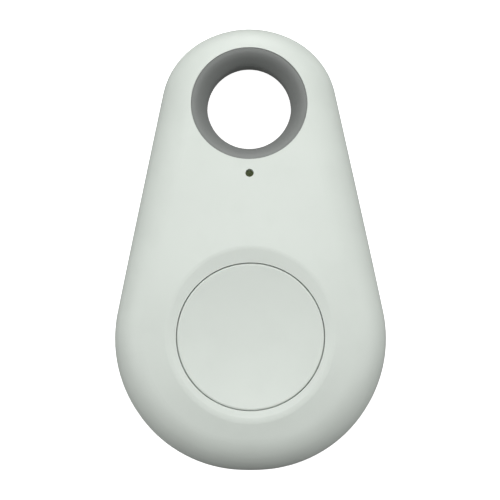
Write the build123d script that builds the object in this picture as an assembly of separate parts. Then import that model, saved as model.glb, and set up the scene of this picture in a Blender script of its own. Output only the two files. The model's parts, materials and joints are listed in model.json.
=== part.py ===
"""Bluetooth tracker tag: a drop-shaped key finder with a lined key-ring hole and one round button.

The tag lies on its back. +Z points out of its face, and +Y points from the button to the key-ring hole.
The origin is the middle of the outline's box, on the flat rear face. All sizes are in millimetres.

Two shells close on a tongue and four friction pins. The front shell carries the button, the key-ring liner
and the board. The board has the switch under the button on its front, and the buzzer and the two battery
springs on its rear. The coin cell lies in a pocket of the rear shell.
"""

import os
from math import acos, atan2, cos, hypot, pi, radians, sin, tan

from build123d import *

# Outline, seen from the front: a round lower lobe, straight flanks and a round end at the key ring.
LENGTH = 52.0
TOP_R = 11.1
TOP_HALF_ANGLE = radians(33.1)
SHOULDER_R = 9.4
LOBE_R = 15.1
FOOT_R = 22.6
FOOT_HALF_ANGLE = radians(4.5)

# Front surface: a shallow cone that leans, so it falls gently to the key ring and more to the lobe.
CREST_Y = -14.6
CREST_Z = 12.84
CONE_SLOPE = 12.25
CONE_LEAN = 4.75
CONE_REACH = 90.0
CONE_TIP_R = 0.01
FRONT_ROUND = 4.4
REAR_ROUND = 3.0
ABOVE_ALL = 14.0
SPARE = 1.0
TOUCH = 0.01

# Shell halves, which meet on a tongue.
WALL = 1.2
PARTING_Z = 3.5
TONGUE_HEIGHT = 0.9
TONGUE_OUTER = 0.62
TONGUE_ROOT = 0.5
FIT_GAP = 0.05
SEAM_BEVEL = 0.12
NOTCH_WIDTH = 4.0
NOTCH_DEPTH = 0.5

# Button, in its dish.
BUTTON_Y = -11.15
DISH_R = 60.0
DISH_FLOOR_Z = 10.16
DISH_LIP_RISE = 0.6
DISH_LIP_ROUND = 1.5
BUTTON_HOLE_R = 8.5
BUTTON_R = 8.43
BUTTON_EDGE_ROUND = 0.2
BUTTON_FLANGE_R = 9.3
BUTTON_FLANGE_Z = (8.55, 9.35)
BUTTON_POST_R = 1.5
KEY_WIDTH = 1.6
KEY_LENGTH = 1.2
KEY_REACH = 9.6
KEYWAY_LENGTH = 2.0
KEY_INNER_R = 8.9

# Key-ring hole and its liner, whose bore opens into a bell at the front and flares at the rear.
RING_Y = 16.3
LINER_R = 6.75
LINER_FLANGE_R = 7.6
LINER_FLANGE_Z = (3.3, 4.75)
LINER_RECESS = 0.1
THROAT_R = 4.92
RIM_Z = 8.5
RIM_SLOPE = 6.8
BELL_R = 6.65
BELL_Z = 5.7
BELL_SHARPNESS = 0.6
BELL_STEPS = 4
REAR_FLARE = 3.4
REAR_FLARE_WIDTH = 1.4
REAR_THROAT_ROUND = 1.0
BOSS_R = 7.5

# Board and the hole that shows its light.
BOARD_Z = (5.4, 6.4)
BOARD_INSET = 2.0
BOARD_TOP_Y = 11.2
BOARD_GAP = 0.3
LIGHT_HOLE_Y = 7.88
LIGHT_HOLE_R = 0.48
LIGHT_Y = LIGHT_HOLE_Y + 0.2
LIGHT_BASE = (1.6, 0.8, 0.5)
LIGHT_LENS = (1.1, 0.8, 1.2)

# Board screws and the shells' locating pins, as (x, y).
SCREW_SPOTS = [(-10.9, -15.4), (10.9, -15.4), (7.9, 4.6)]
SCREW_BOSS_R = 1.6
SCREW_R = 0.7
SCREW_LENGTH = 2.0
SCREW_HEAD_R = 1.25
SCREW_HEAD_HEIGHT = 0.6
SCREW_SLOT = (1.3, 0.3)
PIN_SPOTS = [(-8.9, 13.1), (8.9, 13.1), (-7.0, -22.0), (7.0, -22.0)]
PIN_R = 0.8
PIN_LENGTH = 1.6
PIN_BOSS_R = 1.5

# Coin cell: 20 mm across and 3.2 mm thick.
CELL_R = 10.0
CELL_HEIGHT = 3.2
CELL_SHEET = 0.25
CELL_LIP_DROP = 0.35
GASKET_RISE = 0.1
CAP_R = 8.8
CAP_SKIRT_GAP = 0.5
CATHODE_SHARE = 0.62
SEPARATOR_SHEET = 0.1
ANODE_INSET = 0.4
POCKET_GAP = 0.15
POCKET_RIB = 0.8
POCKET_TOP_Z = 3.3
POCKET_GATE = (4.0, 6.0)
CELL_TOP_Z = WALL + CELL_HEIGHT

# Battery springs, soldered to the board's rear.
SPRING_SHEET = 0.2
SPRING_WIDTH = 2.4
SPRING_FOOT = (3.6, 2.4)
SPRING_FOOT_OFFSET = 5.0
SPRING_ROOT = 4.2
SPRING_TOUCH = -2.0
SPRING_TIP = -3.2
SPRING_LIFT = 0.12
SPRING_TIP_RISE = 0.3
TAB_LOW_Z = WALL + 0.6

# Switch under the button.
SWITCH_SIDE = 5.1
SWITCH_BASE_HEIGHT = 1.2
SWITCH_COVER = 0.2
SWITCH_FLOOR = 0.3
SWITCH_WELL_R = 1.9
COVER_MARGIN = 0.5
PLUNGER_R = 1.05
PLUNGER_FOOT_R = 1.6
PLUNGER_FOOT_HEIGHT = 0.4
PLUNGER_PLAY = 0.02
PLUNGER_TOP_Z = 8.5
DOME_SHEET = 0.08
DOME_RISE = 0.42
LEG_SIZE = (0.9, 0.7, 0.2)
LEG_SPREAD = 1.8

# Buzzer on the board's rear, beside the cell.
BUZZER_SIDE = 7.5
BUZZER_HEIGHT = 2.5
BUZZER_Y = 4.2
BUZZER_WALL = 0.4
BUZZER_PORT_R = 0.7
BUZZER_CORNER = 0.5
BUZZER_BASE = 0.3
CORE_R = 0.6
CORE_GAP = 0.6
COIL_R = 1.6
COIL_GAP = 0.75
MAGNET_WIDTH = 0.9
DIAPHRAGM_Z = (0.47, 0.55)

# Copper antenna, a meander on the board's front.
ANTENNA_AT = (-9.0, 0.2)
ANTENNA_STEP = 1.2
ANTENNA_BAR = (2.6, 0.3)
ANTENNA_BARS = 6
ANTENNA_SHEET = 0.05

# Small parts on the board's front: the size of each and its middle's (x, y).
CHIPS = {
    "radio_chip": ((6.0, 4.6, 0.9), (0, 3.4)),
    "crystal": ((2.0, 1.6, 0.5), (5.2, 3.2)),
    "driver_transistor": ((1.3, 2.9, 1.0), (8.4, 0.6)),
    "flyback_diode": ((1.6, 2.7, 1.1), (10.6, 0.4)),
}
CAPACITOR_SIZE = (1.6, 0.8, 0.8)
CAPACITOR_SPOTS = [(-5.2, 3.4), (-5.2, 1.4), (4.9, 0.8), (-9.6, -2.2), (9.8, -2.4)]
RESISTOR_SIZE = (1.0, 0.5, 0.35)
RESISTOR_SPOTS = [(-2.4, 7.2), (4.6, 7.4), (-6.4, 6.4)]


def shoulder_centre():
    """The centre of the right shoulder's arc, inside the top arc."""
    reach = TOP_R - SHOULDER_R
    return reach * sin(TOP_HALF_ANGLE), LENGTH / 2 - TOP_R + reach * cos(TOP_HALF_ANGLE)


def lobe_centre():
    """The centre of the lobe's right arc, inside the foot's flatter arc."""
    reach = FOOT_R - LOBE_R
    return reach * sin(FOOT_HALF_ANGLE), FOOT_R - LENGTH / 2 - reach * cos(FOOT_HALF_ANGLE)


def around(centre, r, angle):
    """The point at a radius and an angle from +Y, measured towards +X."""
    return centre[0] + r * sin(angle), centre[1] + r * cos(angle)


def outline(inset=0.0):
    """The tag's outline as a flat face, moved inwards by inset."""
    shoulder, lobe = shoulder_centre(), lobe_centre()
    dx, dy = shoulder[0] - lobe[0], shoulder[1] - lobe[1]
    flank = atan2(dx, dy) + acos((LOBE_R - SHOULDER_R) / hypot(dx, dy))
    foot = pi - FOOT_HALF_ANGLE
    top = (0, LENGTH / 2 - inset)
    bottom = (0, inset - LENGTH / 2)
    small, large = SHOULDER_R - inset, LOBE_R - inset
    right = [around(shoulder, small, a) for a in (TOP_HALF_ANGLE, (TOP_HALF_ANGLE + flank) / 2, flank)]
    right += [around(lobe, large, a) for a in (flank, (flank + foot) / 2, foot)]
    left = [(-x, y) for x, y in right]
    edges = [ThreePointArc(left[0], top, right[0]), ThreePointArc(left[5], bottom, right[5])]
    for side in (right, left):
        edges += [ThreePointArc(*side[:3]), Line(side[2], side[3]), ThreePointArc(*side[3:])]
    return make_face(edges)


def slab(sketch, z_low, z_high):
    """The sketch raised from one height to another."""
    return Pos(0, 0, z_low) * extrude(sketch, z_high - z_low)


def disc(r, z_low, z_high, x=0.0, y=0.0):
    """An upright cylinder between two heights."""
    return Pos(x, y, (z_low + z_high) / 2) * Cylinder(r, z_high - z_low)


def block(size_x, size_y, z_low, z_high, x=0.0, y=0.0):
    """An upright box between two heights."""
    return Pos(x, y, (z_low + z_high) / 2) * Box(size_x, size_y, z_high - z_low)


def chip(size, z_low, spot):
    """A box of the given size that stands on a height at a spot."""
    return block(size[0], size[1], z_low, z_low + size[2], *spot)


def is_upright(edge):
    """True for an edge that runs along Z."""
    box = edge.bounding_box().size
    return box.Z > 5 * max(box.X, box.Y)


def front_cone(drop=0.0):
    """The leaning cone under the front surface, lowered by drop."""
    height = CONE_REACH * tan(radians(CONE_SLOPE))
    cone = Pos(0, 0, -height / 2 - drop) * Rot(0, 0, 90) * Cone(CONE_REACH, CONE_TIP_R, height)
    return Pos(0, CREST_Y, CREST_Z) * Rot(CONE_LEAN, 0, 0) * cone


def form(inset=0.0):
    """The tag's rounded form, or the hollow inside a wall of thickness inset."""
    body = slab(outline(inset), inset, ABOVE_ALL) & front_cone(inset / cos(radians(CONE_SLOPE)))
    high = [e for e in body.edges() if e.center().Z > PARTING_Z + SPARE and e.geom_type == GeomType.BSPLINE]
    body = fillet([e for e in high if not is_upright(e)], FRONT_ROUND - inset)
    low = [e for e in body.edges() if abs(e.center().Z - inset) < FIT_GAP]
    return fillet(low, REAR_ROUND - inset)


def dish(extra=0.0):
    """The ball that hollows the front face around the button."""
    return Pos(0, BUTTON_Y, DISH_FLOOR_Z + DISH_R) * Rot(90, 0, 0) * Sphere(DISH_R + extra)


def casing():
    """The whole outer form with its dish, whose lip is softened."""
    body = form() - dish()
    centre = Vector(0, BUTTON_Y, CREST_Z)
    crest = body.edges().filter_by(GeomType.BSPLINE)
    crest = [e for e in crest if e.center().Z > DISH_FLOOR_Z + DISH_LIP_RISE]
    lip = [e for e in crest if (e.center() - centre).length < LOBE_R]
    return fillet(lip, DISH_LIP_ROUND)


def hollow():
    """The space inside the shells' walls."""
    return form(WALL) - dish(WALL)


def posts(spots, r, z_low, z_high):
    """Equal upright cylinders at several spots."""
    return [disc(r, z_low, z_high, *spot) for spot in spots]


def bevelled_seam(shell):
    """The shell with a small bevel where its outer wall meets the other shell."""
    seam = [e for e in shell.edges() if abs(e.center().Z - PARTING_Z) < TOUCH and on_outline(e)]
    return chamfer(seam, SEAM_BEVEL)


def on_outline(edge):
    """True for an edge that runs along the tag's outer wall."""
    middle = edge @ 0.5
    point = Vector(middle.X, middle.Y, 0)
    return min(e.distance_to(point) for e in outline().edges()) < TOUCH


def front_shell(whole, space):
    """The front half: face, button hole, light hole, liner boss, screw bosses, pin sockets and groove."""
    supports = [disc(BOSS_R, LINER_FLANGE_Z[1], ABOVE_ALL, y=RING_Y)]
    supports += posts(SCREW_SPOTS, SCREW_BOSS_R, BOARD_Z[1], ABOVE_ALL)
    supports += posts(PIN_SPOTS, PIN_BOSS_R, PARTING_Z, ABOVE_ALL)
    shell = (whole - (space - supports)) & slab(outline(-SPARE), PARTING_Z, ABOVE_ALL)
    shell = bevelled_seam(shell)
    shell -= slab(outline(TONGUE_OUTER) - outline(WALL + FIT_GAP), PARTING_Z - SPARE, groove_top())
    shell -= disc(LINER_R + FIT_GAP / 2, 0, ABOVE_ALL, y=RING_Y)
    shell -= disc(BUTTON_HOLE_R, PARTING_Z, ABOVE_ALL, y=BUTTON_Y)
    shell -= disc(LIGHT_HOLE_R, BOARD_Z[1], ABOVE_ALL, y=LIGHT_HOLE_Y)
    shell -= posts(SCREW_SPOTS, SCREW_R, 0, BOARD_Z[1] + SCREW_LENGTH)
    shell -= posts(PIN_SPOTS, PIN_R + FIT_GAP, 0, PARTING_Z + PIN_LENGTH + FIT_GAP)
    return shell + button_keys(FIT_GAP)


def groove_top():
    """The height of the groove's roof, a little above the tongue."""
    return PARTING_Z + TONGUE_HEIGHT + FIT_GAP


def button_keys(side_gap):
    """Two small ribs under the face that stop the button from turning, less a gap on each side."""
    low = BUTTON_FLANGE_Z[0] + FIT_GAP
    width = KEY_WIDTH - 2 * side_gap
    ribs = [block(KEY_LENGTH, width, low, ABOVE_ALL, x, BUTTON_Y) for x in (-KEY_REACH, KEY_REACH)]
    ball = dish(WALL / 2)
    return [rib - ball for rib in ribs]


def rear_shell(whole, space):
    """The rear half: flat back, tongue, cell pocket, liner boss, pins and a notch to prise it open."""
    supports = [disc(BOSS_R, 0, LINER_FLANGE_Z[0], y=RING_Y), cell_pocket()]
    supports += posts(PIN_SPOTS, PIN_BOSS_R, 0, PARTING_Z)
    shell = (whole - (space - supports)) & slab(outline(-SPARE), -SPARE, PARTING_Z)
    shell = bevelled_seam(shell)
    root = PARTING_Z - TONGUE_ROOT
    shell += slab(outline(TONGUE_OUTER + FIT_GAP) - outline(WALL), root, PARTING_Z + TONGUE_HEIGHT)
    shell += posts(PIN_SPOTS, PIN_R, root, PARTING_Z + PIN_LENGTH)
    shell -= disc(LINER_R + FIT_GAP / 2, -SPARE, ABOVE_ALL, y=RING_Y)
    return shell - block(NOTCH_WIDTH, 2 * NOTCH_DEPTH, PARTING_Z - NOTCH_DEPTH, PARTING_Z, y=-LENGTH / 2)


def cell_pocket():
    """The ring of rib around the coin cell, open where the positive spring reaches the cell's side."""
    inner = CELL_R + POCKET_GAP
    rib = disc(inner + POCKET_RIB, 0, POCKET_TOP_Z, y=BUTTON_Y) - disc(inner, 0, ABOVE_ALL, y=BUTTON_Y)
    return rib - block(*POCKET_GATE, 0, ABOVE_ALL, -inner, BUTTON_Y)


def ring_liner():
    """The key-ring hole's liner: a short straight bore, a front bell, a rear flare and a flange outside."""
    tube = disc(LINER_R, LINER_RECESS, ABOVE_ALL, y=RING_Y) - disc(THROAT_R, 0, ABOVE_ALL, y=RING_Y)
    rim_plane = Pos(0, RING_Y, RIM_Z) * Rot(-RIM_SLOPE, 0, 0)
    liner = tube - rim_plane * block(LENGTH, LENGTH, 0, LENGTH) - bell()
    mouth = round_edges(liner, LINER_RECESS, THROAT_R)
    liner = chamfer(mouth, REAR_FLARE, REAR_FLARE_WIDTH, reference=bore_face(liner))
    liner = fillet(round_edges(liner, LINER_RECESS + REAR_FLARE, THROAT_R), REAR_THROAT_ROUND)
    flange = disc(LINER_FLANGE_R, *LINER_FLANGE_Z, y=RING_Y)
    return liner + (flange - disc(LINER_R - FIT_GAP, 0, ABOVE_ALL, y=RING_Y))


def bell():
    """The space in the liner's front: from the bore it widens like a horn, up to the leaning rim."""
    rings = []
    for i in range(BELL_STEPS + 1):
        turn = i / BELL_STEPS * pi / 2
        z = BELL_Z + (RIM_Z - BELL_Z) * sin(turn)
        lean = RIM_SLOPE * sin(turn)
        r = THROAT_R + (BELL_R - THROAT_R) * (1 - cos(turn))**BELL_SHARPNESS
        rings.append(Pos(0, RING_Y, z) * Rot(-lean, 0, 0) * Circle(r))
    return loft(rings)


def bore_face(liner):
    """The liner's straight bore."""
    return liner.faces().filter_by(GeomType.CYLINDER).sort_by(SortBy.RADIUS)[0]


def round_edges(liner, z, r):
    """The liner's round edges at a height and a radius."""
    circles = liner.edges().filter_by(GeomType.CIRCLE)
    return [e for e in circles if abs(e.center().Z - z) < TOUCH and abs(e.radius - r) < TOUCH]


def button_cap():
    """The round button: a concave face, a flange that keeps it in, two keyways and a post to the switch."""
    low, high = BUTTON_FLANGE_Z
    cap = disc(BUTTON_R, low, ABOVE_ALL, y=BUTTON_Y) - dish()
    cap = fillet(cap.edges().group_by(Axis.Z)[-1], BUTTON_EDGE_ROUND)
    cap += disc(BUTTON_FLANGE_R, low, high, y=BUTTON_Y) - dish(WALL + FIT_GAP)
    cap -= disc(BUTTON_R - WALL, 0, DISH_FLOOR_Z - WALL, y=BUTTON_Y)
    keyway = KEY_INNER_R + KEYWAY_LENGTH / 2
    cap -= [block(KEYWAY_LENGTH, KEY_WIDTH, 0, ABOVE_ALL, x, BUTTON_Y) for x in (-keyway, keyway)]
    return cap + disc(BUTTON_POST_R, PLUNGER_TOP_Z, DISH_FLOOR_Z - WALL, y=BUTTON_Y)


def circuit_board():
    """The board: it follows the shells inside, ends around the liner boss and clears the pins."""
    low, high = BOARD_Z
    board = slab(outline(BOARD_INSET), low, high)
    board -= block(LENGTH, LENGTH, 0, ABOVE_ALL, y=BOARD_TOP_Y + LENGTH / 2)
    board -= disc(BOSS_R + BOARD_GAP, 0, ABOVE_ALL, y=RING_Y)
    board -= posts(PIN_SPOTS, PIN_BOSS_R + BOARD_GAP, 0, ABOVE_ALL)
    return board - posts(SCREW_SPOTS, SCREW_R + FIT_GAP, 0, ABOVE_ALL)


def board_screw(spot):
    """A self-tapping screw with a pan head and a cross slot, driven from the board's rear."""
    low = BOARD_Z[0] - SCREW_HEAD_HEIGHT
    head = disc(SCREW_HEAD_R, low, BOARD_Z[0], *spot)
    head = fillet(head.edges().group_by(Axis.Z)[0], SCREW_HEAD_HEIGHT / 2)
    slot = [block(*size, 0, low + SCREW_HEAD_HEIGHT / 2, *spot) for size in (SCREW_SLOT, SCREW_SLOT[::-1])]
    return head + disc(SCREW_R, BOARD_Z[0], BOARD_Z[1] + SCREW_LENGTH, *spot) - slot


def cell_can():
    """The coin cell's positive can: its flat bottom lies on the rear wall and its side holds the gasket."""
    can = disc(CELL_R, WALL, CELL_TOP_Z - CELL_LIP_DROP, y=BUTTON_Y)
    can = fillet(can.edges().group_by(Axis.Z)[0], CELL_SHEET)
    return can - disc(CELL_R - CELL_SHEET, WALL + CELL_SHEET, ABOVE_ALL, y=BUTTON_Y)


def cell_gasket():
    """The plastic ring that seals and insulates the cell's cap from its can."""
    top = CELL_TOP_Z - CELL_LIP_DROP + GASKET_RISE
    ring = disc(CELL_R - CELL_SHEET, WALL + CELL_SHEET, top, y=BUTTON_Y)
    return ring - disc(CAP_R, 0, ABOVE_ALL, y=BUTTON_Y)


def cell_cap():
    """The coin cell's negative cap, an inverted cup."""
    low = WALL + CELL_SHEET + CAP_SKIRT_GAP
    cap = disc(CAP_R, low, CELL_TOP_Z, y=BUTTON_Y)
    cap = fillet(cap.edges().group_by(Axis.Z)[-1], CELL_SHEET)
    return cap - disc(CAP_R - CELL_SHEET, 0, CELL_TOP_Z - CELL_SHEET, y=BUTTON_Y)


def cell_layers():
    """The cell's contents from its bottom up: cathode tablet, separator and lithium disc."""
    floor = WALL + CELL_SHEET
    roof = CELL_TOP_Z - CELL_SHEET
    split = floor + CATHODE_SHARE * (roof - floor)
    lid = split + SEPARATOR_SHEET
    inside = CAP_R - CELL_SHEET
    return {
        "cell_cathode": disc(inside, floor, split, y=BUTTON_Y),
        "cell_separator": disc(inside, split, lid, y=BUTTON_Y),
        "cell_anode": disc(inside - ANODE_INSET, lid, roof, y=BUTTON_Y),
    }


def negative_spring():
    """A leaf spring soldered to the board's rear, whose arm leans on the cell's cap."""
    foot = block(*SPRING_FOOT, BOARD_Z[0] - SPRING_SHEET, BOARD_Z[0], y=BUTTON_Y + SPRING_FOOT_OFFSET)
    top = BOARD_Z[0] - SPRING_SHEET / 2
    low = CELL_TOP_Z + SPRING_LIFT
    heights = ((SPRING_ROOT, top), (SPRING_TOUCH, low), (SPRING_TIP, low + SPRING_TIP_RISE))
    line = Polyline([(BUTTON_Y + y, z) for y, z in heights])
    return foot + sweep_strip(line, SPRING_WIDTH, SPRING_SHEET)


def sweep_strip(line, width, sheet):
    """A strip of sheet metal, centred on X, that follows a line drawn in Y and Z."""
    side = Plane.YZ * make_face(offset(line, sheet / 2))
    return extrude(side, width / 2, both=True)


def positive_spring():
    """A bracket soldered to the board's rear, whose tab hangs beside the cell's can."""
    length, width = SPRING_FOOT
    tab_x = -CELL_R - SPRING_SHEET
    tab = block(SPRING_SHEET, length, TAB_LOW_Z, BOARD_Z[0], tab_x, BUTTON_Y)
    foot_x = tab_x + SPRING_SHEET / 2 - width / 2
    return tab + block(width, length, BOARD_Z[0] - SPRING_SHEET, BOARD_Z[0], foot_x, BUTTON_Y)


def switch_body():
    """The switch's moulded base, with a round well for the dome."""
    base = chip((SWITCH_SIDE, SWITCH_SIDE, SWITCH_BASE_HEIGHT), BOARD_Z[1], (0, BUTTON_Y))
    return base - disc(SWITCH_WELL_R, BOARD_Z[1] + SWITCH_FLOOR, ABOVE_ALL, y=BUTTON_Y)


def switch_cover():
    """The switch's sheet-metal cover with a hole for the plunger."""
    low = BOARD_Z[1] + SWITCH_BASE_HEIGHT
    cover = block(SWITCH_SIDE, SWITCH_SIDE - 2 * COVER_MARGIN, low, low + SWITCH_COVER, y=BUTTON_Y)
    return cover - disc(PLUNGER_R + FIT_GAP, 0, ABOVE_ALL, y=BUTTON_Y)


def switch_dome():
    """The snap dome in the switch's well."""
    floor = BOARD_Z[1] + SWITCH_FLOOR
    r = SWITCH_WELL_R - FIT_GAP
    ball_r = (r**2 + DOME_RISE**2) / (2 * DOME_RISE)
    place = Pos(0, BUTTON_Y, floor + DOME_RISE - ball_r)
    sheet = place * Sphere(ball_r) - place * Sphere(ball_r - DOME_SHEET)
    return sheet & disc(r, floor, ABOVE_ALL, y=BUTTON_Y)


def switch_plunger():
    """The switch's plunger, whose foot rests on the dome and is kept in by the cover."""
    foot_top = BOARD_Z[1] + SWITCH_BASE_HEIGHT - PLUNGER_PLAY
    foot = disc(PLUNGER_FOOT_R, foot_top - PLUNGER_FOOT_HEIGHT, foot_top, y=BUTTON_Y)
    return foot + disc(PLUNGER_R, foot_top - FIT_GAP, PLUNGER_TOP_Z, y=BUTTON_Y)


def switch_terminal(side_x, side_y):
    """One of the switch's four solder legs."""
    reach = (SWITCH_SIDE + LEG_SIZE[0]) / 2
    return chip(LEG_SIZE, BOARD_Z[1], (side_x * reach, BUTTON_Y + side_y * LEG_SPREAD))


def buzzer_case():
    """The buzzer's square moulded case, open to the board, with a sound hole in its middle."""
    low = BOARD_Z[0] - BUZZER_HEIGHT
    case = block(BUZZER_SIDE, BUZZER_SIDE, low, BOARD_Z[0], y=BUZZER_Y)
    case = fillet(case.edges().filter_by(Axis.Z), BUZZER_CORNER)
    case -= disc(BUZZER_SIDE / 2 - BUZZER_WALL, low + BUZZER_WALL, ABOVE_ALL, y=BUZZER_Y)
    return case - disc(BUZZER_PORT_R, 0, ABOVE_ALL, y=BUZZER_Y)


def buzzer_parts():
    """The sounder inside the case: base plate with its core, coil, magnet ring and diaphragm."""
    floor = BOARD_Z[0] - BUZZER_HEIGHT + BUZZER_WALL
    base = BOARD_Z[0] - BUZZER_BASE
    inside = BUZZER_SIDE / 2 - BUZZER_WALL
    plate_low, plate_high = [floor + z for z in DIAPHRAGM_Z]
    core = disc(inside, base, BOARD_Z[0], y=BUZZER_Y)
    core += disc(CORE_R, floor + CORE_GAP, BOARD_Z[0], y=BUZZER_Y)
    coil = disc(COIL_R, floor + COIL_GAP, base, y=BUZZER_Y) - disc(CORE_R, 0, ABOVE_ALL, y=BUZZER_Y)
    hole = disc(inside - MAGNET_WIDTH, 0, ABOVE_ALL, y=BUZZER_Y)
    return {
        "buzzer_core": core,
        "buzzer_coil": coil,
        "buzzer_magnet": disc(inside, plate_high, base, y=BUZZER_Y) - hole,
        "buzzer_diaphragm": disc(inside, plate_low, plate_high, y=BUZZER_Y),
    }


def antenna_trace():
    """The meandering copper antenna on the board's left edge: bars across, joined at alternate ends."""
    x, y = ANTENNA_AT
    length, width = ANTENNA_BAR
    low, high = BOARD_Z[1], BOARD_Z[1] + ANTENNA_SHEET
    reach = (length - width) / 2
    trace = [block(length, width, low, high, x, y + i * ANTENNA_STEP) for i in range(ANTENNA_BARS)]
    for i in range(ANTENNA_BARS - 1):
        side = reach if i % 2 else -reach
        trace.append(block(width, ANTENNA_STEP + width, low, high, x + side, y + (i + 0.5) * ANTENNA_STEP))
    return trace[0] + trace[1:]


def board_chips():
    """The small square parts on the board's front, each its own piece."""
    low = BOARD_Z[1]
    parts = {name: chip(size, low, spot) for name, (size, spot) in CHIPS.items()}
    parts["led_base"] = chip(LIGHT_BASE, low, (0, LIGHT_Y))
    parts["led_lens"] = chip(LIGHT_LENS, low + LIGHT_BASE[2], (0, LIGHT_Y))
    for i, spot in enumerate(CAPACITOR_SPOTS, 1):
        parts[f"capacitor_{i}"] = chip(CAPACITOR_SIZE, low, spot)
    for i, spot in enumerate(RESISTOR_SPOTS, 1):
        parts[f"resistor_{i}"] = chip(RESISTOR_SIZE, low, spot)
    return parts


def all_parts():
    """Every piece of the tag, by node name."""
    whole = casing()
    space = hollow()
    parts = {
        "front_shell": front_shell(whole, space),
        "rear_shell": rear_shell(whole, space),
        "ring_liner": ring_liner(),
        "button_cap": button_cap(),
        "circuit_board": circuit_board(),
        "cell_can": cell_can(),
        "cell_gasket": cell_gasket(),
        "cell_cap": cell_cap(),
        "negative_spring": negative_spring(),
        "positive_spring": positive_spring(),
        "switch_body": switch_body(),
        "switch_cover": switch_cover(),
        "switch_dome": switch_dome(),
        "switch_plunger": switch_plunger(),
        "buzzer_case": buzzer_case(),
        "antenna_trace": antenna_trace(),
    }
    parts |= cell_layers() | buzzer_parts() | board_chips()
    parts |= {f"board_screw_{i}": board_screw(spot) for i, spot in enumerate(SCREW_SPOTS, 1)}
    corners = [(x, y) for x in (-1, 1) for y in (-1, 1)]
    parts |= {f"switch_leg_{i}": switch_terminal(*corner) for i, corner in enumerate(corners, 1)}
    return parts


if __name__ == "__main__":
    os.makedirs("parts", exist_ok=True)
    for name, shape in all_parts().items():
        export_step(shape, f"parts/{name}.step")
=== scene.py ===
import json
from math import cos, pi, radians, sin

import bmesh
import bpy
from mathutils import Matrix, Vector


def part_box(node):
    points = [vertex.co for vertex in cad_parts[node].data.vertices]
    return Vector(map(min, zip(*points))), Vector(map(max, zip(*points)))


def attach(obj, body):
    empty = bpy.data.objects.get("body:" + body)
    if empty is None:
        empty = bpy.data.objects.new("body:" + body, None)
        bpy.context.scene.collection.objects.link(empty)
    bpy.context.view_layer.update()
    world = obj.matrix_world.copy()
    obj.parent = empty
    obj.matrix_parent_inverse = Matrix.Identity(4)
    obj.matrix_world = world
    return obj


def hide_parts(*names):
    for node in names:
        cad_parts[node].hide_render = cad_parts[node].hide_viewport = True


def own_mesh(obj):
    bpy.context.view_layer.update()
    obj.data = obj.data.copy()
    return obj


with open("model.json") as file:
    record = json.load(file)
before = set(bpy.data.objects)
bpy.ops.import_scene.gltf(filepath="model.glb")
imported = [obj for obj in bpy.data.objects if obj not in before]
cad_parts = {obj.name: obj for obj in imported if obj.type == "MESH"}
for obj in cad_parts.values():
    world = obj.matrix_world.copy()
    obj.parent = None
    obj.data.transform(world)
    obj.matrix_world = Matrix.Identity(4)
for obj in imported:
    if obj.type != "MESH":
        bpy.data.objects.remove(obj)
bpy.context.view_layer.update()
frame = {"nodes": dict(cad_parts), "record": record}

# The drop-shaped tracker tag lies on its back: +Z out of its face, +Y towards the key-ring hole. Metres.
nodes = frame["nodes"]
MM = 0.001
WHITE = (1, 1, 1)

# A colour Mix node's sockets go by number, because several of them share a name.
MIX_FACTOR, MIX_FROM, MIX_TO, MIX_RESULT = 0, 6, 7, 2


# ---------------------------------------------------------------- materials

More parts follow.
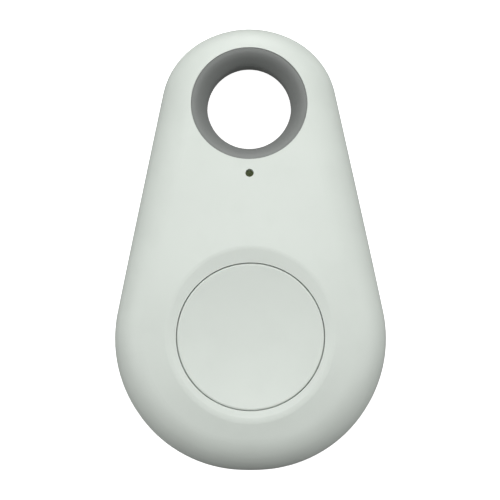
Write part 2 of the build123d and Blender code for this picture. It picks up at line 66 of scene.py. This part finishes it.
class Finish:
    """A procedural material on the Principled shader, built up one feature at a time."""

    def __init__(self, name, colour, roughness, **sockets):
        self.material = bpy.data.materials.new(name)
        self.material.use_nodes = True
        self.tree = self.material.node_tree
        self.shader = self.tree.nodes["Principled BSDF"]
        self.place = self.node("ShaderNodeTexCoord").outputs["Object"]
        self.relief = None
        self.colour = colour
        self.shader.inputs["Base Color"].default_value = (*colour, 1)
        self.shader.inputs["Roughness"].default_value = roughness
        for socket, value in sockets.items():
            self.shader.inputs[socket.replace("_", " ")].default_value = value

    def node(self, kind, **settings):
        """A new shader node with some of its settings changed."""
        made = self.tree.nodes.new(kind)
        for key, value in settings.items():
            setattr(made, key, value)
        return made

    def link(self, source, target):
        """Joins one socket to another."""
        self.tree.links.new(source, target)

    def noise(self, size, detail=3.0, stretch=(1, 1, 1), rough=0.55):
        """Grains about size across, from 0 to 1. A stretch over 1 draws them out along that axis."""
        mapping = self.node("ShaderNodeMapping")
        mapping.inputs["Scale"].default_value = [1 / (size * s) for s in stretch]
        self.link(self.place, mapping.inputs["Vector"])
        noise = self.node("ShaderNodeTexNoise")
        noise.inputs["Scale"].default_value = 1.0
        noise.inputs["Detail"].default_value = detail
        noise.inputs["Roughness"].default_value = rough
        self.link(mapping.outputs["Vector"], noise.inputs["Vector"])
        return noise.outputs["Fac"]

    def ramp(self, value, low, high, low_out=0.0, high_out=1.0):
        """The value stretched so that low gives low_out and high gives high_out, smoothly."""
        spread = self.node("ShaderNodeMapRange", interpolation_type="SMOOTHSTEP")
        limits = {"From Min": low, "From Max": high, "To Min": low_out, "To Max": high_out}
        for socket, limit in limits.items():
            spread.inputs[socket].default_value = limit
        self.link(value, spread.inputs["Value"])
        return spread.outputs["Result"]

    def tint(self, value, colour):
        """Where the value is high, the base colour turns to the given colour."""
        mix = self.node("ShaderNodeMix", data_type="RGBA")
        base = self.shader.inputs["Base Color"]
        if base.is_linked:
            self.link(base.links[0].from_socket, mix.inputs[MIX_FROM])
        else:
            mix.inputs[MIX_FROM].default_value = (*self.colour, 1)
        mix.inputs[MIX_TO].default_value = (*colour, 1)
        self.link(value, mix.inputs[MIX_FACTOR])
        self.link(mix.outputs[MIX_RESULT], base)

    def rough(self, value, low, high):
        """Roughness from low to high across the middle of the value."""
        self.link(self.ramp(value, 0.3, 0.7, low, high), self.shader.inputs["Roughness"])

    def bump(self, value, depth):
        """Relief of the given depth, laid over any relief before it."""
        node = self.node("ShaderNodeBump")
        node.inputs["Distance"].default_value = depth
        self.link(value, node.inputs["Height"])
        if self.relief is not None:
            self.link(self.relief, node.inputs["Normal"])
        self.relief = node.outputs["Normal"]
        self.link(self.relief, self.shader.inputs["Normal"])


def shade(colour, factor):
    """The colour made lighter or darker by a factor."""
    return [min(c * factor, 1.0) for c in colour]


def moulded(name, colour, roughness, grain=0.16 * MM, depth=0.004 * MM, drift=0.02, **sockets):
    """Injection-moulded plastic: spark-eroded grain, slow colour drift, handling polish and faint specks."""
    light_patches, dark_patches, specks, polish = 9 * MM, 3.1 * MM, 0.3 * MM, 4.5 * MM
    speck_shade = 0.86
    finish = Finish(name, colour, roughness, **sockets)
    finish.tint(finish.ramp(finish.noise(light_patches, 2), 0.35, 0.65), shade(colour, 1 + drift))
    finish.tint(finish.ramp(finish.noise(dark_patches, 4), 0.45, 0.75, 0, 0.6), shade(colour, 1 - drift))
    speckle = finish.ramp(finish.noise(specks, 5, rough=0.7), 0.70, 0.80, 0, 0.25)
    finish.tint(speckle, shade(colour, speck_shade))
    finish.rough(finish.noise(polish, 3), roughness - 0.05, roughness + 0.06)
    finish.bump(finish.noise(grain, 4), depth)
    return finish.material


def sheet_metal(name, colour, roughness, stretch=(1, 1, 1), grain=0.12 * MM, tarnish=0.7, depth=0.003 * MM):
    """Drawn or brushed metal: fine lines along the stretch, and patches shaded by the tarnish."""
    patches = 1.6 * MM
    finish = Finish(name, colour, roughness, Metallic=1.0)
    lines = finish.noise(grain, 4, stretch, 0.65)
    finish.tint(finish.ramp(lines, 0.3, 0.7, 0, 0.5), shade(colour, (1 + tarnish) / 2))
    finish.tint(finish.ramp(finish.noise(patches, 4), 0.5, 0.75, 0, 0.6), shade(colour, tarnish))
    finish.rough(lines, roughness - 0.08, roughness + 0.10)
    finish.bump(lines, depth)
    return finish.material


def solder_mask():
    """The board's lacquered glass cloth: green, with the weave just showing through."""
    green, pale_green = (0.010, 0.105, 0.035), (0.016, 0.150, 0.052)
    thread, thread_depth, smears = 0.5 * MM, 0.004 * MM, 2 * MM
    finish = Finish("board_green", green, 0.32, Coat_Weight=0.4, Coat_Roughness=0.15)
    for stretch in ((6, 0.6, 1), (0.6, 6, 1)):
        weave = finish.noise(thread, 1, stretch)
        finish.tint(finish.ramp(weave, 0.45, 0.65, 0, 0.45), pale_green)
        finish.bump(weave, thread_depth)
    finish.rough(finish.noise(smears, 3), 0.26, 0.42)
    return finish.material


def clear_plastic(name, colour, roughness, glow=(0, 0, 0)):
    """Clear or milky resin with a slightly uneven surface. The glow is painted light: the resin shines by
    itself though it is no lamp, standing in for light gathered in it.
    """
    clouds, smears, ripples, ripple_depth = 0.3 * MM, 0.2 * MM, 0.25 * MM, 0.003 * MM
    finish = Finish(name, colour, roughness, Transmission_Weight=0.6, IOR=1.5, Emission_Strength=1.0)
    # Painted glow: the resin emits light in the glow's colour, though it is no lamp.
    finish.shader.inputs["Emission Color"].default_value = (*glow, 1)
    finish.tint(finish.ramp(finish.noise(clouds, 3), 0.4, 0.7), shade(colour, 0.85))
    finish.rough(finish.noise(smears, 3), roughness, roughness + 0.12)
    finish.bump(finish.noise(ripples, 2), ripple_depth)
    return finish.material


def wound_wire():
    """Enamelled copper wire wound round an upright axis."""
    copper, shadow = (0.62, 0.26, 0.10), (0.28, 0.09, 0.03)
    wire, round_the_axis, wire_depth = 0.09 * MM, (60, 60, 1), 0.02 * MM
    finish = Finish("coil_wire", copper, 0.30, Metallic=1.0)
    turns = finish.noise(wire, 1, round_the_axis)
    finish.tint(finish.ramp(turns, 0.4, 0.6), shadow)
    finish.rough(turns, 0.25, 0.45)
    finish.bump(turns, wire_depth)
    return finish.material


def white_paper():
    """The stage's paper, which glows until it is plain white, so that no shadow shows on it."""
    grey, cloud_grey, clouds, glow = (0.60, 0.60, 0.60), (0.59, 0.59, 0.59), 30 * MM, 0.95
    finish = Finish("floor_paper", grey, 0.9, Emission_Strength=glow)
    finish.shader.inputs["Emission Color"].default_value = (*WHITE, 1)
    finish.tint(finish.ramp(finish.noise(clouds, 3), 0.3, 0.7), cloud_grey)
    return finish.material


MATERIALS = {
    "shell_white": moulded("shell_white", (0.54, 0.58, 0.54), 0.50),
    "button_white": moulded("button_white", (0.54, 0.58, 0.54), 0.46),
    "liner_grey": moulded("liner_grey", (0.180, 0.189, 0.182), 0.60, depth=0.006 * MM, drift=0.05,
                          Specular_IOR_Level=0.3),
    "board_green": solder_mask(),
    "chip_black": moulded("chip_black", (0.022, 0.022, 0.024), 0.50, grain=0.05 * MM, drift=0.12),
    "ceramic_tan": moulded("ceramic_tan", (0.36, 0.24, 0.13), 0.50, grain=0.05 * MM, drift=0.10),
    "tinned_steel": sheet_metal("tinned_steel", (0.72, 0.72, 0.70), 0.34),
    "cell_steel": sheet_metal("cell_steel", (0.93, 0.93, 0.91), 0.34, (8, 8, 1), grain=0.05 * MM,
                              tarnish=0.97, depth=0.0008 * MM),
    "copper": sheet_metal("copper", (0.80, 0.42, 0.22), 0.32, tarnish=0.55),
    "coil_wire": wound_wire(),
    "spring_bronze": sheet_metal("spring_bronze", (0.80, 0.62, 0.33), 0.28, (1, 10, 1), tarnish=0.6),
    # The LED's lens has a faint olive painted glow, though the LED is off, so it shows as lit through the
    # small hole over it.
    "led_clear": clear_plastic("led_clear", (0.36, 0.40, 0.21), 0.12, (0.024, 0.033, 0.014)),
    "cell_fill": moulded("cell_fill", (0.05, 0.05, 0.055), 0.75, grain=0.08 * MM, drift=0.15),
    "magnet_dark": sheet_metal("magnet_dark", (0.20, 0.20, 0.21), 0.55, grain=0.3 * MM),
    "track_green": moulded("track_green", (0.022, 0.190, 0.070), 0.30, grain=0.1 * MM, drift=0.08),
    "legend_white": moulded("legend_white", (0.70, 0.71, 0.68), 0.60, grain=0.05 * MM, drift=0.05),
    "pad_gold": sheet_metal("pad_gold", (0.90, 0.66, 0.30), 0.25, tarnish=0.75),
    "gasket_clear": clear_plastic("gasket_clear", (0.70, 0.73, 0.76), 0.35),
    "floor_paper": white_paper(),
}


def paint(piece, material):
    """The piece in one material all over."""
    piece.data.materials.clear()
    piece.data.materials.append(MATERIALS[material])


slots = {entry["node"]: entry["material_slot"] for entry in frame["record"]["subparts"]}
for name, piece in nodes.items():
    paint(piece, slots[name])
paint(nodes["buzzer_coil"], "coil_wire")


# ---------------------------------------------------------------- pieces that only Blender has

SMALL_PARTS = [name for name in nodes if name.startswith(("capacitor_", "resistor_"))]
FRONT, REAR = 1, -1
COPPER = 0.035 * MM  # thickness of a track
SKIN = 0.02 * MM  # thickness of tin, and how far small edges are drawn in
board_low, board_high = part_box("circuit_board")


def piece_from(name, bm, material, body, rounding=0.0):
    """The mesh as a piece that rides on a body, with its edges rounded if asked."""
    mesh = bpy.data.meshes.new(name)
    bmesh.ops.recalc_face_normals(bm, faces=bm.faces)
    bm.to_mesh(mesh)
    bm.free()
    piece = bpy.data.objects.new(name, mesh)
    bpy.context.scene.collection.objects.link(piece)
    paint(piece, material)
    if rounding:
        bevel = piece.modifiers.new("rounding", "BEVEL")
        bevel.width = rounding
        bevel.segments = 2
        bevel.limit_method = "ANGLE"
        piece.modifiers.new("even_shading", "WEIGHTED_NORMAL")
    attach(piece, body)
    return piece


def prism(bm, lower, upper):
    """Adds a closed solid between two rings of the same number of points."""
    low = [bm.verts.new(p) for p in lower]
    high = [bm.verts.new(p) for p in upper]
    bm.faces.new(low[::-1])
    bm.faces.new(high)
    for i, corner in enumerate(low):
        j = (i + 1) % len(low)
        bm.faces.new((corner, low[j], high[j], high[i]))


def box_shape(bm, low, high, draw=0.0):
    """Adds a box between two corners, whose top is drawn in on every side."""
    rings = []
    for z, d in ((low[2], 0.0), (high[2], draw)):
        rings.append([(low[0] + d, low[1] + d, z), (high[0] - d, low[1] + d, z),
                      (high[0] - d, high[1] - d, z), (low[0] + d, high[1] - d, z)])
    prism(bm, *rings)


def end_caps():
    """Tinned ends of the small two-ended parts, each with a low foot of solder on the board."""
    cap_length, foot_length = 0.28 * MM, 0.32 * MM
    bm = bmesh.new()
    for name in SMALL_PARTS + ["flyback_diode"]:
        low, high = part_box(name)
        along = 0 if high.x - low.x > high.y - low.y else 1
        across = 1 - along
        for side in (-1, 1):
            end = high[along] if side > 0 else low[along]
            outside = end + SKIN * side
            cap = (end - cap_length * side, outside, high.z + SKIN)
            foot = (outside, end + foot_length * side, (low.z + high.z) / 2)
            for start, stop, top in (cap, foot):
                a, b = low.copy(), high.copy()
                a[along], b[along] = min(start, stop), max(start, stop)
                a[across] -= SKIN
                b[across] += SKIN
                b.z = top
                box_shape(bm, a, b, SKIN)
    piece_from("end_caps", bm, "tinned_steel", "front", SKIN)


def chip_leads():
    """The radio chip's side pads and the transistor's three legs."""
    pads_a_side, pad_half_width, pad_height = 10, 0.11 * MM, 0.12 * MM
    pad_under, pad_reach = 0.04 * MM, 0.25 * MM
    leg_half_width, leg_height, reach = 0.2 * MM, 0.35 * MM, 0.45 * MM
    bm = bmesh.new()
    low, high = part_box("radio_chip")
    top = low.z + pad_height
    for i in range(pads_a_side):
        x = low.x + (high.x - low.x) * (i + 1) / (pads_a_side + 1)
        for y, out in ((low.y, -1), (high.y, 1)):
            start, stop = sorted((y - pad_under * out, y + pad_reach * out))
            box_shape(bm, (x - pad_half_width, start, low.z), (x + pad_half_width, stop, top), SKIN)
    low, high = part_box("driver_transistor")
    top = low.z + leg_height
    legs = ((high.x, (low.y + high.y) / 2), (low.x - reach, low.y + reach), (low.x - reach, high.y - reach))
    for x, y in legs:
        box_shape(bm, (x, y - leg_half_width, low.z), (x + reach, y + leg_half_width, top), SKIN)
    piece_from("chip_leads", bm, "tinned_steel", "front", SKIN)


def layer(face, height):
    """The heights of the two sides of a thin layer on the board's front or rear face, the lower first."""
    surface = board_high.z if face == FRONT else board_low.z
    return sorted((surface, surface + face * height))


def circle(centre, r, sides):
    """Points round a circle, as (x, y)."""
    turns = [2 * pi * i / sides for i in range(sides)]
    return [(centre[0] + r * cos(turn), centre[1] + r * sin(turn)) for turn in turns]


def track(bm, points, width, face):
    """Adds a flat strip through the points, for a track or a mark, on the board's front or rear face."""
    for (x0, y0), (x1, y1) in zip(points, points[1:]):
        along = Vector((x1 - x0, y1 - y0)).normalized() * width / 2
        side = Vector((-along.y, along.x))
        start, stop = Vector((x0, y0)), Vector((x1, y1))
        ring = [start - along - side, stop + along - side, stop + along + side, start - along + side]
        prism(bm, *[[(p.x, p.y, z) for p in ring] for z in layer(face, COPPER)])


def pad(bm, centre, r, face, height=2 * COPPER, sides=24):
    """Adds a round pad, a little proud of the board's front or rear face."""
    prism(bm, *[[(x, y, z) for x, y in circle(centre, r, sides)] for z in layer(face, height)])


def middle(name):
    """The middle of a CAD node's box, as (x, y)."""
    low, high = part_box(name)
    return (low.x + high.x) / 2, (low.y + high.y) / 2


def dogleg(start, end):
    """A route from start to end: along Y, then at 45 degrees until it is level with the end, then along X."""
    slant = min(abs(end[0] - start[0]), abs(end[1] - start[1]))
    sign = 1 if end[1] > start[1] else -1
    turn = (start[0], end[1] - sign * slant)
    step = 1 if end[0] > start[0] else -1
    return [start, turn, (start[0] + step * slant, end[1]), end]


def wiring():
    """Tracks under the lacquer: on the front from the chip to its parts, on the rear to the test pads."""
    chip_width, switch_width, test_width = 0.16 * MM, 0.22 * MM, 0.2 * MM
    hub_from_left, hub_from_top, hub_pitch = 5.5 * MM, 7 * MM, 0.35 * MM
    drawn_in = 0.7  # where a switch track ends, as a share of how far out its leg is
    front, rear = bmesh.new(), bmesh.new()
    chip_low, chip_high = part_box("radio_chip")
    ends = sorted(SMALL_PARTS + ["crystal", "led_base", "driver_transistor"])
    for i, name in enumerate(ends):
        x = chip_low.x + (chip_high.x - chip_low.x) * (i + 1) / (len(ends) + 1)
        y = chip_low.y if middle(name)[1] < chip_low.y else chip_high.y
        track(front, dogleg((x, y), middle(name)), chip_width, FRONT)
    for i in range(4):
        x, y = middle(f"switch_leg_{i + 1}")
        track(front, dogleg((x, y), (x * drawn_in, chip_low.y)), switch_width, FRONT)
    hub = (board_low.x + hub_from_left, board_high.y - hub_from_top)
    for i, spot in enumerate(rear_pads()):
        start = (hub[0] + i * hub_pitch, hub[1])
        track(rear, dogleg(start, spot), test_width, REAR)
    piece_from("front_tracks", front, "track_green", "front")
    piece_from("rear_tracks", rear, "track_green", "front")


def rear_pads():
    """Places of the round test pads, in a row on the rear on each side of the buzzer."""
    pitch, left_start, left_gap, right_gap = 1.5 * MM, 0.6 * MM, 2.4 * MM, 1.5 * MM
    low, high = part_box("buzzer_case")
    left = [(low.x - left_gap, low.y + left_start + i * pitch) for i in range(4)]
    right = [(high.x + right_gap, high.y - i * pitch) for i in range(3)]
    return left + right


def plating():
    """Gold-plated test pads and screw rings, and the solder round the springs' feet and the buzzer."""
    pad_r, screw_ring_r, screw_ring_sides = 0.5 * MM, 1.55 * MM, 40
    solder_r, solder_height, solder_rounding = 0.42 * MM, 0.16 * MM, 0.06 * MM
    gold, solder = bmesh.new(), bmesh.new()
    for spot in rear_pads():
        pad(gold, spot, pad_r, REAR)
    for i in range(3):
        pad(gold, middle(f"board_screw_{i + 1}"), screw_ring_r, REAR, COPPER, screw_ring_sides)
    for name in ("negative_spring", "positive_spring", "buzzer_case"):
        low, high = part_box(name)
        # The positive spring's other side holds its tab.
        soldered = (low.x,) if name == "positive_spring" else (low.x, high.x)
        for x in soldered:
            for share in (0.25, 0.75):
                pad(solder, (x, low.y + share * (high.y - low.y)), solder_r, REAR, solder_height)
    piece_from("test_pads", gold, "pad_gold", "front")
    piece_from("rear_solder", solder, "tinned_steel", "front", solder_rounding)


def legend():
    """White printed corner marks round the parts on the board's front."""
    line, gap, arm_share = 0.12 * MM, 0.35 * MM, 0.25
    bm = bmesh.new()
    for name in ("radio_chip", "crystal", "driver_transistor", "flyback_diode", "switch_body"):
        low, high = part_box(name)
        x0, y0, x1, y1 = low.x - gap, low.y - gap, high.x + gap, high.y + gap
        arm = arm_share * (x1 - x0)
        for y in (y0, y1):
            track(bm, [(x0, y), (x0 + arm, y)], line, FRONT)
            track(bm, [(x1 - arm, y), (x1, y)], line, FRONT)
        for x in (x0, x1):
            track(bm, [(x, y0), (x, y0 + arm)], line, FRONT)
            track(bm, [(x, y1 - arm), (x, y1)], line, FRONT)
    piece_from("legend", bm, "legend_white", "front")


def snap_dome():
    """The switch's thin domed spring, with a ring pressed round its crown, drawn in its domed rest shape."""
    sheet, crease_r, crease_half_width, crease_depth = 0.08 * MM, 0.6 * MM, 0.12 * MM, 0.025 * MM
    steps, sides = 16, 64
    low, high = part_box("switch_dome")
    mid = (low + high) / 2
    rim_r, rise = (high.x - low.x) / 2, high.z - low.z
    ball_r = (rim_r ** 2 + rise ** 2) / (2 * rise)
    inner_rim_r = (ball_r ** 2 - (ball_r - rise + sheet) ** 2) ** 0.5
    bm = bmesh.new()

    def height(r, drop):
        """How high the sheet's top side is at a distance r from the axis, less the drop."""
        crease = crease_depth * max(0.0, 1 - ((r - crease_r) / crease_half_width) ** 2)
        return high.z - ball_r + (ball_r ** 2 - r ** 2) ** 0.5 - crease - drop

    def ring(r, drop):
        """A ring of points at that height, never below the dome's foot."""
        z = max(height(r, drop), low.z)
        return [bm.verts.new((x, y, z)) for x, y in circle(mid, r, sides)]

    rings = [ring(rim_r * i / steps, 0) for i in range(1, steps + 1)]
    rings += [ring(inner_rim_r * i / steps, sheet) for i in range(steps, 0, -1)]
    for one, other in zip(rings, rings[1:]):
        for i in range(sides):
            j = (i + 1) % sides
            bm.faces.new((one[i], one[j], other[j], other[i]))
    for edge, drop in ((rings[0], 0), (rings[-1], sheet)):
        tip = bm.verts.new((mid.x, mid.y, height(0, drop)))
        for i in range(sides):
            bm.faces.new((tip, edge[i], edge[(i + 1) % sides]))
    for face in bm.faces:
        face.smooth = True
    piece = piece_from("snap_dome", bm, "tinned_steel", "front")
    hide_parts("switch_dome")
    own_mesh(piece)


end_caps()
chip_leads()
wiring()
plating()
legend()
snap_dome()


# ---------------------------------------------------------------- stage, light and camera

def area_light(name, place, size, power):
    """A soft square white lamp at a place, turned to the tag. Its size is in metres, its power in watts."""
    data = bpy.data.lights.new(name, "AREA")
    data.size = size
    data.energy = power
    lamp = bpy.data.objects.new(name, data)
    lamp.location = place
    origin = Vector((0, 0, 0))
    lamp.rotation_euler = (origin - Vector(place)).to_track_quat("-Z", "Y").to_euler()
    bpy.context.scene.collection.objects.link(lamp)


def staged(name, mesh, unseen_by):
    """The mesh as a part of the stage, in paper, that some kinds of ray pass through."""
    piece = bpy.data.objects.new(name, mesh)
    for ray in unseen_by:
        setattr(piece, f"visible_{ray}", False)
    bpy.context.scene.collection.objects.link(piece)
    paint(piece, "floor_paper")


def floor():
    """A plain pale floor that the tag lies on. It throws no light or reflection back on the tag."""
    half = 1.5
    corners = [(-half, -half, 0), (half, -half, 0), (half, half, 0), (-half, half, 0)]
    mesh = bpy.data.meshes.new("floor")
    mesh.from_pydata(corners, [], [(0, 1, 2, 3)])
    staged("floor", mesh, unseen_by=("diffuse", "glossy"))


def backdrop():
    """A plain white wall all round, beyond the lamps. Only the camera sees it, so it lights nothing."""
    wall_r, wall_height = 1.45, 6.0
    bm = bmesh.new()
    bmesh.ops.create_cone(bm, cap_ends=False, segments=96, radius1=wall_r, radius2=wall_r, depth=wall_height)
    mesh = bpy.data.meshes.new("backdrop")
    bm.to_mesh(mesh)
    bm.free()
    staged("backdrop", mesh, unseen_by=("diffuse", "glossy", "transmission", "volume_scatter", "shadow"))


def studio():
    """Soft light, most of it from above and beyond the key-ring hole, so the button's end is shaded."""
    ambient = 0.215
    area_light("front", (0, -0.15, 0.85), size=0.30, power=1.04)
    area_light("high_beyond", (0, 0.50, 0.75), size=0.40, power=3.50)
    area_light("low_beyond", (0, 0.85, 0.15), size=0.50, power=4.13)
    for side in (-1, 1):
        area_light("side", (0.75 * side, 0, 0.45), size=0.50, power=3.20)
    world = bpy.data.worlds.new("studio")
    world.use_nodes = True
    sky = world.node_tree.nodes["Background"]
    sky.inputs["Color"].default_value = (*WHITE, 1)
    sky.inputs["Strength"].default_value = ambient
    bpy.context.scene.world = world


def camera():
    """A long lens that looks down almost square to the face, from a little towards the button's end."""
    tilt, roll = radians(7.4), radians(-0.343)
    target, distance = Vector((0, -0.00046, 0.005)), 0.300
    turn = Matrix.Rotation(tilt, 3, "X") @ Matrix.Rotation(roll, 3, "Z")
    data = bpy.data.cameras.new("camera")
    data.sensor_width = 36
    data.lens = 185.1
    data.clip_start = 0.01
    seen = bpy.data.objects.new("camera", data)
    seen.location = target + turn @ Vector((0, 0, distance))
    seen.rotation_euler = turn.to_euler()
    bpy.context.scene.collection.objects.link(seen)
    bpy.context.scene.camera = seen


floor()
backdrop()
studio()
camera()
bpy.context.scene.view_settings.view_transform = "Standard"
